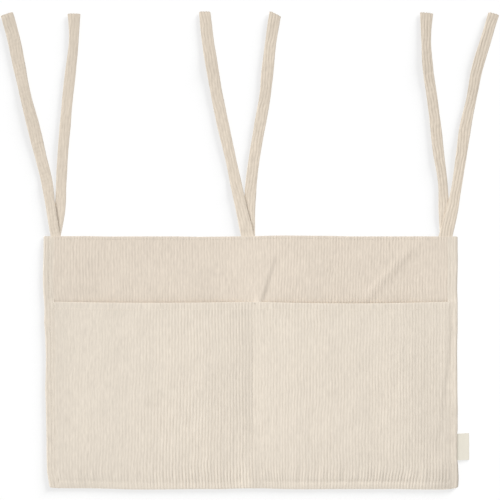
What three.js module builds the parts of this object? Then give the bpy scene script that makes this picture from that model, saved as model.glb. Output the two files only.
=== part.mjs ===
// Crib organizer: a sewn cloth panel with two pockets, three pairs of ties and a side label.
// It lies on its back. Millimetres: X runs along the rail, Y from the pockets to the ties, Z up.
// The origin is the middle of the panel's back face.

import * as THREE from "three";

// Panel: a lining and an outer ply, held together by a band around each side edge
const panelWidth = 600;
const panelHeight = 365;
const liningThickness = 0.6;
const clothThickness = 1.4;
const plyGap = 0.3;
const bandWidth = 15;
const bandThickness = 1.2;

// Pockets: one strip of cloth, held at both sides, along the bottom and up the middle
const pocketHeight = 271;
const pocketInset = 1.5;
const sideMargin = 16;
const bottomMargin = 11;
const dividerBand = 11;
const pocketRise = 6.5;
const pocketRamp = 70;
const mouthRise = 4;
const mouthTaper = 110;
const hemDepth = 10;

// Ties: straps sewn in pairs into the top seam, one strap of a pair on top of the other
const tieWidth = 16;
const tieThickness = 1.6;
const tieEdge = 0.4;
const tieRun = 327;
const stemRun = 90;
const overlapRun = 64;
const tieInset = 16.5;
const centreTieOffset = -6;

// Label: a folded loop sewn into the right side seam
const labelReach = 19;
const labelHeight = 39;
const labelPly = 0.45;
const labelFold = 0.4;
const labelLift = 0.6;
const labelAboveBottom = 40;

// Thread: each row of stitching is one unbroken thread that lies on the cloth
const threadWidth = 0.8;
const threadThickness = 0.5;
const topStitchInset = 4;
const sideStitchInset = 9;
const bottomStitchInset = 9;
const bartackLength = 9;
const bartackWidth = 1.8;
const bartackGap = 1;

// Clearance at a seam that turns
const seamGap = 0.3;

// Edges of the panel, of its plies inside the side bands, and of the pocket strip
const rightEdge = panelWidth / 2;
const topEdge = panelHeight / 2;
const bottomEdge = -topEdge;
const plyEdge = rightEdge - bandThickness - plyGap;
const bandEdge = rightEdge - bandWidth;
const mouth = bottomEdge + pocketHeight;
const hemLine = mouth - hemDepth;

// Heights of the plies, from the surface up
const outerBottom = liningThickness + plyGap;
const outerTop = outerBottom + clothThickness;
const pocketBottom = outerTop + plyGap;
const pocketTop = pocketBottom + clothThickness;
const bandTopOnPanel = outerTop + plyGap + bandThickness;
const bandTopOnPocket = pocketTop + plyGap + bandThickness;

const corduroy = new THREE.MeshStandardMaterial({ color: 0xe4dacb, roughness: 0.95, metalness: 0 });
const tieCorduroy = new THREE.MeshStandardMaterial({ color: 0xddd2c0, roughness: 0.95, metalness: 0 });
const cotton = new THREE.MeshStandardMaterial({ color: 0xe6dccd, roughness: 0.9, metalness: 0 });
const labelTape = new THREE.MeshStandardMaterial({ color: 0xece7dc, roughness: 0.7, metalness: 0 });
const thread = new THREE.MeshStandardMaterial({ color: 0xe9dfcf, roughness: 0.8, metalness: 0 });

const organizer = new THREE.Group();
const hinges = [];

function addPiece(name, geometry, material) {
  const piece = new THREE.Mesh(geometry, material);
  piece.name = name;
  organizer.add(piece);
}

// A flat ply as wide as the bands let it be, between two heights.
function plyGeometry(low, high) {
  const ply = new THREE.BoxGeometry(2 * plyEdge, panelHeight, high - low);
  return ply.translate(0, 0, (low + high) / 2);
}

// A closed sheet over a grid of x and y places, between a top and a bottom height function.
function sheetGeometry(xs, ys, top, bottom) {
  const across = xs.length;
  const layer = across * ys.length;
  const positions = [];
  for (const height of [top, bottom]) {
    for (const y of ys) {
      for (const x of xs) positions.push(x, y, height(x, y));
    }
  }
  const index = [];
  const quad = (a, b, c, d) => index.push(a, b, c, a, c, d);
  for (let j = 0; j + 1 < ys.length; j++) {
    for (let i = 0; i + 1 < across; i++) {
      const a = j * across + i;
      const above = a + across;
      quad(a, a + 1, above + 1, above);
      quad(layer + above, layer + above + 1, layer + a + 1, layer + a);
    }
  }
  const last = layer - across;
  const rim = [
    ...xs.map((_, i) => i),
    ...ys.slice(1).map((_, j) => (j + 2) * across - 1),
    ...xs.slice(1).map((_, i) => last + across - 2 - i),
    ...ys.slice(1).map((_, j) => last - (j + 1) * across),
  ];
  for (let k = 0; k + 1 < rim.length; k++) {
    quad(layer + rim[k], layer + rim[k + 1], rim[k + 1], rim[k]);
  }
  const sheet = new THREE.BufferGeometry();
  sheet.setAttribute("position", new THREE.Float32BufferAttribute(positions, 3));
  sheet.setIndex(index);
  return sheet;
}

// A closed body through outlines of as many [x, z] points each, one at each station along Y.
function loftGeometry(stations) {
  const count = stations[0].outline.length;
  const positions = stations.flatMap(({ y, outline }) => outline.flatMap(([x, z]) => [x, y, z]));
  const index = [];
  for (let s = 0; s + 1 < stations.length; s++) {
    for (let i = 0; i < count; i++) {
      const a = s * count + i;
      const b = s * count + ((i + 1) % count);
      index.push(a, a + count, b + count, a, b + count, b);
    }
  }
  const outline = stations[0].outline.map(([x, z]) => new THREE.Vector2(x, z));
  const far = (stations.length - 1) * count;
  for (const [a, b, c] of THREE.ShapeUtils.triangulateShape(outline, [])) {
    index.push(a, b, c, far + a, far + c, far + b);
  }
  const body = new THREE.BufferGeometry();
  body.setAttribute("position", new THREE.Float32BufferAttribute(positions, 3));
  body.setIndex(index);
  return body;
}

// A thread that follows points of a section plane, as [place, height], lying plyGap above them.
function threadGeometry(points) {
  const low = points.map(([place, height]) => new THREE.Vector2(place, height + plyGap));
  const high = low.map((p) => new THREE.Vector2(p.x, p.y + threadThickness)).reverse();
  return new THREE.ExtrudeGeometry(new THREE.Shape([...low, ...high]), {
    depth: threadWidth,
    bevelEnabled: false,
  }).translate(0, 0, -threadWidth / 2);
}

// Thread sections are drawn in a plane: these turn that plane to run along X or along Y.
function alongX(geometry, y) {
  return geometry.rotateX(Math.PI / 2).translate(0, y, 0);
}
function alongY(geometry, x) {
  return geometry.rotateX(Math.PI / 2).rotateZ(Math.PI / 2).translate(x, 0, 0);
}

// Lining and outer ply
addPiece("lining_panel", plyGeometry(0, liningThickness), cotton);
addPiece("outer_panel", plyGeometry(outerBottom, outerTop), corduroy);

// The pocket strip stands clear of the panel between its seams, because it is cut with slack.
// Its hem is taut, so the strip comes down towards the mouth.
const pocketSeams = [
  [-rightEdge + sideMargin, -dividerBand / 2],
  [dividerBand / 2, rightEdge - sideMargin],
];
const pocketFoot = bottomEdge + bottomMargin;
const rampAcross = Math.min(pocketRamp, 0.45 * (pocketSeams[0][1] - pocketSeams[0][0]));
const rampUp = Math.min(pocketRamp, 0.9 * (hemLine - pocketFoot));
const rampShares = [0, 0.15, 0.3, 0.45, 0.6, 0.8, 1];
const leastRow = 0.5;
const taperFoot = Math.max(mouth - mouthTaper, pocketFoot + rampUp + leastRow);

function slackAt(x, y) {
  const [left, right] = pocketSeams[x < 0 ? 0 : 1];
  const inside = Math.min(x - left, right - x);
  const across = THREE.MathUtils.smoothstep(inside, 0, rampAcross);
  const up = THREE.MathUtils.smoothstep(y - pocketFoot, 0, rampUp);
  const tautness = THREE.MathUtils.smoothstep(y, taperFoot, mouth);
  return THREE.MathUtils.lerp(pocketRise, mouthRise, tautness) * across * up;
}
function pocketFront(x, y) {
  return pocketTop + slackAt(x, y);
}
function pocketBack(x, y) {
  return pocketBottom + slackAt(x, y);
}

function pocketColumns([left, right]) {
  const rise = rampShares.map((share) => left + share * rampAcross);
  const fall = rampShares.map((share) => right - share * rampAcross).reverse();
  return [...rise, ...fall];
}
const pocketXs = [
  -plyEdge,
  ...pocketColumns(pocketSeams[0]),
  ...pocketColumns(pocketSeams[1]),
  plyEdge,
];
const pocketYs = [
  bottomEdge + pocketInset,
  ...rampShares.map((share) => pocketFoot + share * rampUp),
  ...rampShares.map((share) => THREE.MathUtils.lerp(taperFoot, hemLine, share)),
  mouth,
];
addPiece("pocket_panel", sheetGeometry(pocketXs, pocketYs, pocketFront, pocketBack), corduroy);

// A side band covers the ends of the plies, and steps down from the pocket strip to the panel
// just past the pocket's mouth.
const stepFoot = mouth + plyGap;
const stepRun = pocketTop - outerTop;
function bandOutline(side, top) {
  const inner = side * (rightEdge - bandThickness);
  const outline = [
    [side * bandEdge, top - bandThickness],
    [inner, top - bandThickness],
    [inner, 0],
    [side * rightEdge, 0],
    [side * rightEdge, top],
    [side * bandEdge, top],
  ];
  return side > 0 ? outline : outline.reverse();
}
for (const [name, side] of [["left_side_band", -1], ["right_side_band", 1]]) {
  const stations = [
    { y: bottomEdge, outline: bandOutline(side, bandTopOnPocket) },
    { y: stepFoot, outline: bandOutline(side, bandTopOnPocket) },
    { y: stepFoot + stepRun, outline: bandOutline(side, bandTopOnPanel) },
    { y: topEdge, outline: bandOutline(side, bandTopOnPanel) },
  ];
  addPiece(name, loftGeometry(stations), corduroy);
}

// Ties. Each has the sideways places of its middle line, at equal steps from the seam to the tip,
// and over says that it lies on top of the other strap of its pair.
const tiePairs = [
  {
    name: "left",
    x: -rightEdge + tieInset,
    straps: [
      { name: "outer", over: true, sway: [0, -9.6, -21, -33.8, -47.3, -58.2, -72] },
      { name: "inner", over: false, sway: [0, 5.7, 8.9, 13.4, 18, 24, 26.2] },
    ],
  },
  {
    name: "centre",
    x: centreTieOffset,
    straps: [
      { name: "left", over: true, sway: [0, -11.4, -24.2, -36, -47.3, -56, -61.8] },
      { name: "right", over: false, sway: [0, 3.7, 9, 17.8, 25.6, 32, 39.3] },
    ],
  },
  {
    name: "right",
    x: rightEdge - tieInset,
    straps: [
      { name: "inner", over: false, sway: [0, -4.2, -8.8, -15.6, -22.5, -27.6, -28.7] },
      { name: "outer", over: true, sway: [0, 11.7, 20.8, 29.9, 39.5, 53.1, 69] },
    ],
  },
];

// The middle line of a strap's under side. It leaves the seam square to the edge, and an over strap
// comes down to the surface between the end of the overlap and the end of the stem.
class TieRoute extends THREE.Curve {
  constructor(x, strap, from, to) {
    super();
    const steps = strap.sway.map((_, i) => (i * tieRun) / (strap.sway.length - 1));
    this.sideways = new THREE.CubicInterpolant(steps, strap.sway, 1);
    this.sideways.settings = {
      endingStart: THREE.ZeroSlopeEnding,
      endingEnd: THREE.ZeroCurvatureEnding,
    };
    Object.assign(this, { x, from, to, stacked: strap.over ? tieThickness + plyGap : 0 });
  }
  getPoint(t, target = new THREE.Vector3()) {
    const run = THREE.MathUtils.lerp(this.from, this.to, t);
    const down = THREE.MathUtils.smoothstep(run, overlapRun, stemRun - 2 * seamGap);
    const sideways = this.sideways.evaluate(run)[0];
    return target.set(this.x + sideways, topEdge + run, this.stacked * (1 - down));
  }
}

// A strap's section: x is measured down from its under side and y across it, with eased edges.
function tieSection() {
  const half = tieWidth / 2;
  const inner = half - tieEdge;
  const low = -tieEdge;
  const high = -tieThickness + tieEdge;
  return new THREE.Shape(
    [
      [0, -inner],
      [low, -half],
      [high, -half],
      [-tieThickness, -inner],
      [-tieThickness, inner],
      [high, half],
      [low, half],
      [0, inner],
    ].map(([x, y]) => new THREE.Vector2(x, y)),
  );
}
function tieGeometry(route, steps) {
  return new THREE.ExtrudeGeometry(tieSection(), { steps, extrudePath: route, bevelEnabled: false });
}

const stemSteps = 10;
const tailSteps = 16;
const stackTop = 2 * tieThickness + plyGap;
for (const pair of tiePairs) {
  hinges.push({
    name: `tie_${pair.name}_seam`,
    at: [pair.x, topEdge + seamGap / 2, stackTop],
    axis: [1, 0, 0],
  });
  for (const strap of pair.straps) {
    const name = `tie_${pair.name}_${strap.name}`;
    const stem = new TieRoute(pair.x, strap, seamGap, stemRun - seamGap / 2);
    const tail = new TieRoute(pair.x, strap, stemRun + seamGap / 2, tieRun);
    addPiece(`${name}_stem`, tieGeometry(stem, stemSteps), tieCorduroy);
    addPiece(`${name}_tail`, tieGeometry(tail, tailSteps), tieCorduroy);
    const fold = tail.getPoint(0);
    const along = tail.getTangent(0);
    hinges.push({
      name: `${name}_fold`,
      at: [fold.x, fold.y, tieThickness],
      axis: [along.y, -along.x, 0],
    });
  }
}

// Label: two plies joined by a round fold at the outer end
function labelSection() {
  const start = rightEdge + seamGap;
  const bend = labelFold / 2 + labelPly;
  const middle = labelLift + bend;
  const turn = rightEdge + labelReach - bend;
  const outline = new THREE.Shape();
  outline.moveTo(start, middle - bend);
  outline.absarc(turn, middle, bend, -Math.PI / 2, Math.PI / 2);
  outline.lineTo(start, middle + bend);
  outline.lineTo(start, middle + labelFold / 2);
  outline.absarc(turn, middle, labelFold / 2, Math.PI / 2, -Math.PI / 2, true);
  outline.lineTo(start, middle - labelFold / 2);
  return outline;
}
const labelTop = labelLift + 2 * labelPly + labelFold;
const labelFoot = bottomEdge + labelAboveBottom;
const label = new THREE.ExtrudeGeometry(labelSection(), {
  depth: labelHeight,
  curveSegments: 5,
  bevelEnabled: false,
});
addPiece("side_label", label.rotateX(Math.PI / 2).translate(0, labelFoot + labelHeight, 0), labelTape);
hinges.push({
  name: "label_seam",
  at: [rightEdge + seamGap / 2, labelFoot + labelHeight / 2, labelTop],
  axis: [0, -1, 0],
});

// Rows of stitching along the top and bottom edges, between the side bands
const topRow = topEdge - topStitchInset;
const bottomRow = bottomEdge + bottomStitchInset;
const rowEnd = bandEdge - plyGap;
const topRowPoints = [[-rowEnd, outerTop], [rowEnd, outerTop]];
const bottomRowPoints = [[-rowEnd, pocketTop], [rowEnd, pocketTop]];
addPiece("top_edge_stitch", alongX(threadGeometry(topRowPoints), topRow), thread);
addPiece("bottom_stitch", alongX(threadGeometry(bottomRowPoints), bottomRow), thread);

// Rows along the side bands, which step down with them
const sideRow = rightEdge - sideStitchInset;
const sideRowPoints = [
  [bottomRow, bandTopOnPocket],
  [stepFoot, bandTopOnPocket],
  [stepFoot + stepRun, bandTopOnPanel],
  [topRow, bandTopOnPanel],
];
addPiece("left_side_stitch", alongY(threadGeometry(sideRowPoints), -sideRow), thread);
addPiece("right_side_stitch", alongY(threadGeometry(sideRowPoints), sideRow), thread);

// The row between the pockets ends at the bartack of the mouth.
const bartackRow = mouth - bartackGap - bartackWidth / 2;
const dividerPoints = [
  [bottomRow + threadWidth / 2 + plyGap, pocketTop],
  [bartackRow - bartackWidth / 2 - plyGap, pocketTop],
];
addPiece("divider_stitch", alongY(threadGeometry(dividerPoints), 0), thread);

// The hem of each pocket's mouth is stitched along the slack cloth.
for (const [side, seam] of [["left", pocketSeams[0]], ["right", pocketSeams[1]]]) {
  const points = pocketColumns(seam).map((x) => [x, pocketFront(x, hemLine)]);
  addPiece(`mouth_hem_stitch_${side}`, alongX(threadGeometry(points), hemLine), thread);
}

// Bartacks: short dense bars of thread at the ends of the pockets' mouths
function bartackGeometry(length, width, x, y, surface) {
  const bar = new THREE.BoxGeometry(length, width, threadThickness);
  return bar.translate(x, y, surface + plyGap + threadThickness / 2);
}
const sideTackX = bandEdge + bartackGap + bartackWidth / 2;
const sideTackY = mouth - bartackLength / 2;
addPiece("divider_bartack", bartackGeometry(bartackLength, bartackWidth, 0, bartackRow, pocketTop), thread);
for (const [name, side] of [["mouth_bartack_left", -1], ["mouth_bartack_right", 1]]) {
  const bar = bartackGeometry(bartackWidth, bartackLength, side * sideTackX, sideTackY, bandTopOnPocket);
  addPiece(name, bar, thread);
}

organizer.userData.hinges = hinges;
export default organizer;
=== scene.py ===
import math

import bpy
import numpy as np
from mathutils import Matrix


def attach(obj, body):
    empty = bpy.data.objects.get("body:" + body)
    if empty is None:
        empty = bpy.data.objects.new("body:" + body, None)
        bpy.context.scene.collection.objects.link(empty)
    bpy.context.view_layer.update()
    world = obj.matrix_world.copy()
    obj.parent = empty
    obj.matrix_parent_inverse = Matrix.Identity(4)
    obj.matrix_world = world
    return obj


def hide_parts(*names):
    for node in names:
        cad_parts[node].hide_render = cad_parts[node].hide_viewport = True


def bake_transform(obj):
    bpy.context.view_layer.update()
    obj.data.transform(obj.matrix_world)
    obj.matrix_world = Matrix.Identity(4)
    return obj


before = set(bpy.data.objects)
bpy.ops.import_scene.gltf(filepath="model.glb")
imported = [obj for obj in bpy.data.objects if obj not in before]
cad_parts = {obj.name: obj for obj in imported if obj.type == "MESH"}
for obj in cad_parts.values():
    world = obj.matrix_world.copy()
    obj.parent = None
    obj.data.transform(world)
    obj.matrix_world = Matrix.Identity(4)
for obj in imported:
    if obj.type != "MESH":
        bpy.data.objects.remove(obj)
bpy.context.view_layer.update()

# A cream corduroy crib organizer, laid flat and seen from straight above.
# Shapes are worked out in millimetres and put into their meshes in metres.
scene = bpy.context.scene
scene.view_settings.view_transform = "Standard"
mm = 0.001
print("frame loaded:", len(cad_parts), "solids")

# Camera: above the middle of the picture, as high as the picture's width asks for
shot = {"eye": (-0.0024, 0.1642, 2.026), "lens": 100, "sensor": 36}
cameraData = bpy.data.cameras.new("camera")
cameraData.lens = shot["lens"]
cameraData.sensor_width = shot["sensor"]
camera = bpy.data.objects.new("camera", cameraData)
camera.location = shot["eye"]
scene.collection.objects.link(camera)
scene.camera = camera


def smooth(low, high, value):
    # smoothstep: 0 up to low, 1 from high on, 3 t^2 - 2 t^3 between
    t = np.clip((value - low) / (high - low), 0, 1)
    return t * t * (3 - 2 * t)


def easeOut(value, span):
    # steep at 0 and level from span on: 1 less the square of the way still to go
    return 1 - (1 - np.clip(value / span, 0, 1)) ** 2


def bell(value, width):
    # a bump of height 1 at 0: e to the power of minus (value / width) squared
    return np.exp(-((value / width) ** 2))


def wander(place, seed, longest):
    # a smooth wander within about -1..1: four sines, each 1.7 times shorter and weaker than the last
    phases = np.random.default_rng(seed).uniform(0, 2 * np.pi, 4)
    waves = [np.sin(2 * np.pi * place * 1.7**k / longest + p) / (k + 1) for k, p in enumerate(phases)]
    return sum(waves) / 1.6


def dapple(x, y, seed, size):
    # the same over a surface: six plane waves in random directions, from size down to a third of it
    draws = np.random.default_rng(seed).uniform(0, 1, (6, 3))
    waves = [
        np.sin(2 * np.pi * ((x * math.cos(a) + y * math.sin(a)) / (size * (1 - 0.67 * s)) + p))
        for a, s, p in zip(draws[:, 0] * 2 * math.pi, draws[:, 1], draws[:, 2])
    ]
    return sum(waves) / 2.4


def ribs(number):
    # a corduroy rib: 1 less the 2.5th power of twice the distance from the rib's middle, in ribs
    return 1 - np.abs(2 * (number - np.round(number))) ** 2.5


# Materials

def addNode(tree, kind, inputs=None, **settings):
    node = tree.nodes.new("ShaderNode" + kind)
    for name, value in settings.items():
        setattr(node, name, value)
    for name, value in (inputs or {}).items():
        if isinstance(value, bpy.types.NodeSocket):
            tree.links.new(value, node.inputs[name])
        else:
            node.inputs[name].default_value = value
    return node


def calc(tree, operation, first, second=0.0, third=0.0):
    return addNode(tree, "Math", {0: first, 1: second, 2: third}, operation=operation).outputs[0]


def mixColors(tree, share, first, second, blendType="MIX"):
    inputs = {0: share, 6: first, 7: second}
    return addNode(tree, "Mix", inputs, data_type="RGBA", blend_type=blendType).outputs[2]


def stretched(tree, vector, scale):
    return addNode(tree, "VectorMath", {0: vector, 1: scale}, operation="MULTIPLY").outputs[0]


def noise(tree, vector, scale, detail, roughness=0.5):
    place = stretched(tree, vector, scale)
    inputs = {"Vector": place, "Scale": 1, "Detail": detail, "Roughness": roughness}
    return addNode(tree, "TexNoise", inputs).outputs[0]


def shaded(tree, color, level):
    # the colour times a level
    shade = addNode(tree, "CombineXYZ", {0: level, 1: level, 2: level}).outputs[0]
    return mixColors(tree, 1.0, color, shade, "MULTIPLY")


def newGroup(name, inputs):
    # every pattern gives a colour, a roughness and a height for its bump
    outputs = {"Color": "Color", "Roughness": "Float", "Height": "Float"}
    tree = bpy.data.node_groups.new(name, "ShaderNodeTree")
    for way, sockets in (("INPUT", inputs), ("OUTPUT", outputs)):
        for socket, kind in sockets.items():
            tree.interface.new_socket(socket, in_out=way, socket_type="NodeSocket" + kind)
    return tree, tree.nodes.new("NodeGroupInput").outputs, tree.nodes.new("NodeGroupOutput").inputs


# Corduroy pile: ribs run along the second coordinate, one to each unit of the first.
# Furrows take the darker furrow colour: the bare ground between the ribs, with painted shade in it.
# Long streaks follow the ribs, and tufts give a fine fuzz. Pile says where there is any, and the
# lightness float how light the pile is: partly the lay of its nap, and partly painted light and shade.
def corduroyPile():
    inputs = {"Ribs": "Vector", "Pile": "Float", "NapAndShading": "Float", "Crest": "Color", "Furrow": "Color"}
    inputs.update({"Streaks": "Float", "Fuzz": "Float"})
    tree, given, made = newGroup("corduroyPile", inputs)
    number = addNode(tree, "SeparateXYZ", {0: given["Ribs"]}).outputs[0]
    wobble = noise(tree, given["Ribs"], (0.9, 0.2, 1), 1.0)
    shifted = calc(tree, "ADD", number, calc(tree, "MULTIPLY_ADD", wobble, 0.16, 0.42))
    fromMiddle = calc(tree, "ABSOLUTE", calc(tree, "SUBTRACT", calc(tree, "FRACT", shifted), 0.5))
    furrow = calc(tree, "POWER", calc(tree, "MULTIPLY", fromMiddle, 2.0), 2.4)
    broken = noise(tree, given["Ribs"], (1.1, 0.18, 1), 2.0)
    furrow = calc(tree, "MULTIPLY", furrow, calc(tree, "MULTIPLY_ADD", broken, 1.6, 0.0))
    furrow = calc(tree, "MULTIPLY", calc(tree, "MAXIMUM", furrow, 0.0), given["Pile"])
    color = mixColors(tree, furrow, given["Crest"], given["Furrow"])
    streak = noise(tree, given["Ribs"], (1.1, 0.14, 1), 3.0)
    patch = noise(tree, given["Ribs"], (0.09, 0.07, 1), 2.0)
    tone = calc(tree, "ADD", calc(tree, "MULTIPLY", streak, 0.75), calc(tree, "MULTIPLY", patch, 0.25))
    tone = calc(tree, "MULTIPLY", calc(tree, "SUBTRACT", tone, 0.5), given["Streaks"])
    tufts = noise(tree, given["Ribs"], (2.6, 0.35, 1), 4.0, 0.65)
    fuzz = calc(tree, "MULTIPLY", calc(tree, "SUBTRACT", tufts, 0.5), given["Fuzz"])
    level = calc(tree, "MULTIPLY", calc(tree, "ADD", calc(tree, "ADD", tone, fuzz), 1.0), given["NapAndShading"])
    tree.links.new(shaded(tree, color, level), made["Color"])
    tree.links.new(calc(tree, "MULTIPLY_ADD", tufts, 0.12, 0.84), made["Roughness"])
    tree.links.new(tufts, made["Height"])
    return tree


# Plain weave: threads one unit apart both ways, each over and under the next in turn.
def plainWeave():
    inputs = {"Threads": "Vector", "Light": "Color", "Dark": "Color", "Slub": "Float"}
    tree, given, made = newGroup("plainWeave", inputs)
    split = addNode(tree, "SeparateXYZ", {0: given["Threads"]}).outputs
    warp = calc(tree, "SINE", calc(tree, "MULTIPLY", split[0], math.pi))
    weft = calc(tree, "SINE", calc(tree, "MULTIPLY", split[1], math.pi))
    turn = calc(tree, "MULTIPLY_ADD", calc(tree, "MULTIPLY", warp, weft), 2.0, 0.5)
    turn = calc(tree, "MINIMUM", calc(tree, "MAXIMUM", turn, 0.0), 1.0)
    up = calc(tree, "MULTIPLY", calc(tree, "ABSOLUTE", warp), turn)
    across = calc(tree, "MULTIPLY", calc(tree, "ABSOLUTE", weft), calc(tree, "SUBTRACT", 1.0, turn))
    height = calc(tree, "ADD", up, across)
    slub = noise(tree, given["Threads"], (0.9, 0.05, 1), 2.0)
    blotch = noise(tree, given["Threads"], (0.02, 0.02, 1), 2.0)
    level = calc(tree, "ADD", slub, calc(tree, "MULTIPLY", blotch, 0.6))
    level = calc(tree, "MULTIPLY_ADD", calc(tree, "SUBTRACT", level, 0.8), given["Slub"], 1.0)
    color = mixColors(tree, height, given["Dark"], given["Light"])
    tree.links.new(shaded(tree, color, level), made["Color"])
    tree.links.new(calc(tree, "MULTIPLY_ADD", height, -0.1, 0.92), made["Roughness"])
    tree.links.new(height, made["Height"])
    return tree


pileGroup = corduroyPile()
weaveGroup = plainWeave()


def newMaterial(name, group, inputs, bump, sheen, coordinates="ribs"):
    material = bpy.data.materials.new(name)
    material.use_nodes = True
    tree = material.node_tree
    shader = tree.nodes["Principled BSDF"]
    if coordinates == "ribs":
        place = addNode(tree, "UVMap", uv_map="ribs").outputs[0]
    else:
        place = addNode(tree, "TexCoord").outputs["Object"]
        place = stretched(tree, place, coordinates)
    pattern = addNode(tree, "Group", node_tree=group)
    tree.links.new(place, pattern.inputs[0])
    for socket, value in inputs.items():
        if isinstance(value, str):
            layer = addNode(tree, "Attribute", attribute_name=value).outputs["Fac"]
            tree.links.new(layer, pattern.inputs[socket])
        else:
            pattern.inputs[socket].default_value = value
    relief = {"Strength": bump[0], "Distance": bump[1], "Height": pattern.outputs["Height"]}
    tree.links.new(pattern.outputs["Color"], shader.inputs["Base Color"])
    tree.links.new(pattern.outputs["Roughness"], shader.inputs["Roughness"])
    tree.links.new(addNode(tree, "Bump", relief).outputs[0], shader.inputs["Normal"])
    shader.inputs["Specular IOR Level"].default_value = 0.2
    shader.inputs["Sheen Weight"].default_value = sheen
    shader.inputs["Sheen Roughness"].default_value = 0.45
    shader.inputs["Sheen Tint"].default_value = (1.0, 0.94, 0.86, 1)
    return material


def corduroy(name, crest, furrowShare, streaks, fuzz):
    # furrows keep a share of the crest's colour, a little less of the blue than of the red; that darkening
    # is partly the bare ground and partly painted shade in the furrows
    furrow = [c * furrowShare * k for c, k in zip(crest, (1.0, 0.985, 0.965))]
    inputs = {"Pile": "pile", "NapAndShading": "napAndShading", "Crest": (*crest, 1), "Furrow": (*furrow, 1)}
    inputs.update({"Streaks": streaks, "Fuzz": fuzz})
    return newMaterial(name, pileGroup, inputs, bump=(0.4, 0.0004), sheen=0.1)


def woven(name, light, dark, slub, **looks):
    inputs = {"Light": (*light, 1), "Dark": (*dark, 1), "Slub": slub}
    return newMaterial(name, weaveGroup, inputs, **looks)


panelCorduroy = corduroy("panel corduroy", (0.767, 0.679, 0.579), furrowShare=0.87, streaks=0.22, fuzz=0.45)
pocketCorduroy = corduroy("pocket corduroy", (0.782, 0.706, 0.608), furrowShare=0.9, streaks=0.16, fuzz=0.4)
bandCorduroy = corduroy("band corduroy", (0.775, 0.698, 0.599), furrowShare=0.9, streaks=0.16, fuzz=0.5)
tieCorduroy = corduroy("tie corduroy", (0.756, 0.666, 0.557), furrowShare=0.82, streaks=0.26, fuzz=0.5)
liningCotton = woven(
    "lining cotton", (0.80, 0.73, 0.63), (0.66, 0.585, 0.485), slub=0.12,
    bump=(0.35, 0.0002), sheen=0.06, coordinates=(1600, 1600, 1600),  # threads to the metre
)
labelSatin = woven(
    "label satin", (0.845, 0.805, 0.705), (0.755, 0.705, 0.60), slub=0.06, bump=(0.25, 0.0001), sheen=0.03,
)
labelSatin.node_tree.nodes["Principled BSDF"].inputs["Specular IOR Level"].default_value = 0.35
sewingThread = woven(
    "sewing thread", (0.86, 0.80, 0.705), (0.76, 0.69, 0.59), slub=0.06, bump=(0.3, 0.00015), sheen=0.05,
)
print("materials made")


# Meshes

def addMesh(name, points, quads, caps, coordinates, pile, napAndShading, material):
    # points in mm, four-sided faces and outlines of the end faces, flipped if they face inwards,
    # which is when the volume that they enclose comes out below 0
    centred = points - points.mean(0)
    a, b, c, d = (centred[quads[:, k]] for k in range(4))
    volume = (a * np.cross(b, c)).sum() + (a * np.cross(c, d)).sum()
    if volume < 0:
        quads = quads[:, ::-1]
        caps = [cap[::-1] for cap in caps]
    corners = np.concatenate([quads.ravel(), *caps]).astype(np.int32)
    sizes = np.concatenate([np.full(len(quads), 4), [len(cap) for cap in caps]])
    starts = np.concatenate([[0], np.cumsum(sizes)[:-1]]).astype(np.int32)
    mesh = bpy.data.meshes.new(name)
    mesh.vertices.add(len(points))
    mesh.vertices.foreach_set("co", (points * mm).astype(np.float32).ravel())
    mesh.loops.add(len(corners))
    mesh.loops.foreach_set("vertex_index", corners)
    mesh.polygons.add(len(starts))
    mesh.polygons.foreach_set("loop_start", starts)
    mesh.update(calc_edges=True)
    mesh.shade_smooth()
    mesh.uv_layers.new(name="ribs").data.foreach_set("uv", coordinates[corners].astype(np.float32).ravel())
    # the second layer is how light the pile is: partly its nap, and partly painted light and shade
    for layer, values in (("pile", pile), ("napAndShading", napAndShading)):
        mesh.attributes.new(layer, "FLOAT", "POINT").data.foreach_set("value", values.astype(np.float32))
    capOf = np.full(len(points), -1)
    for k, cap in enumerate(caps):
        capOf[cap] = k
    edges = np.zeros(len(mesh.edges) * 2, np.int32)
    mesh.edges.foreach_get("vertices", edges)
    ends = capOf[edges.reshape(-1, 2)]
    sharp = (ends[:, 0] >= 0) & (ends[:, 0] == ends[:, 1])  # an end face is flat, with a crisp rim
    mesh.attributes.new("sharp_edge", "BOOLEAN", "EDGE").data.foreach_set("value", sharp)
    mesh.validate()
    mesh.materials.append(material)
    piece = bpy.data.objects.new(name, mesh)
    scene.collection.objects.link(piece)
    return piece


def carried(name, rings, coordinates, material, pile=1.0, napAndShading=1.0):
    # a closed outline carried along a path: rings[i, j] is point j of the outline at station i
    stations, around = rings.shape[:2]
    index = np.arange(stations * around).reshape(stations, around)
    beside = np.roll(index, -1, axis=1)
    quads = np.stack([index[:-1], beside[:-1], beside[1:], index[1:]], axis=-1).reshape(-1, 4)
    pile, napAndShading = (np.broadcast_to(v, (stations, around)).ravel() for v in (pile, napAndShading))
    caps = [index[0][::-1], index[-1]]
    return addMesh(name, rings.reshape(-1, 3), quads, caps, coordinates.reshape(-1, 2), pile, napAndShading, material)
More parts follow.
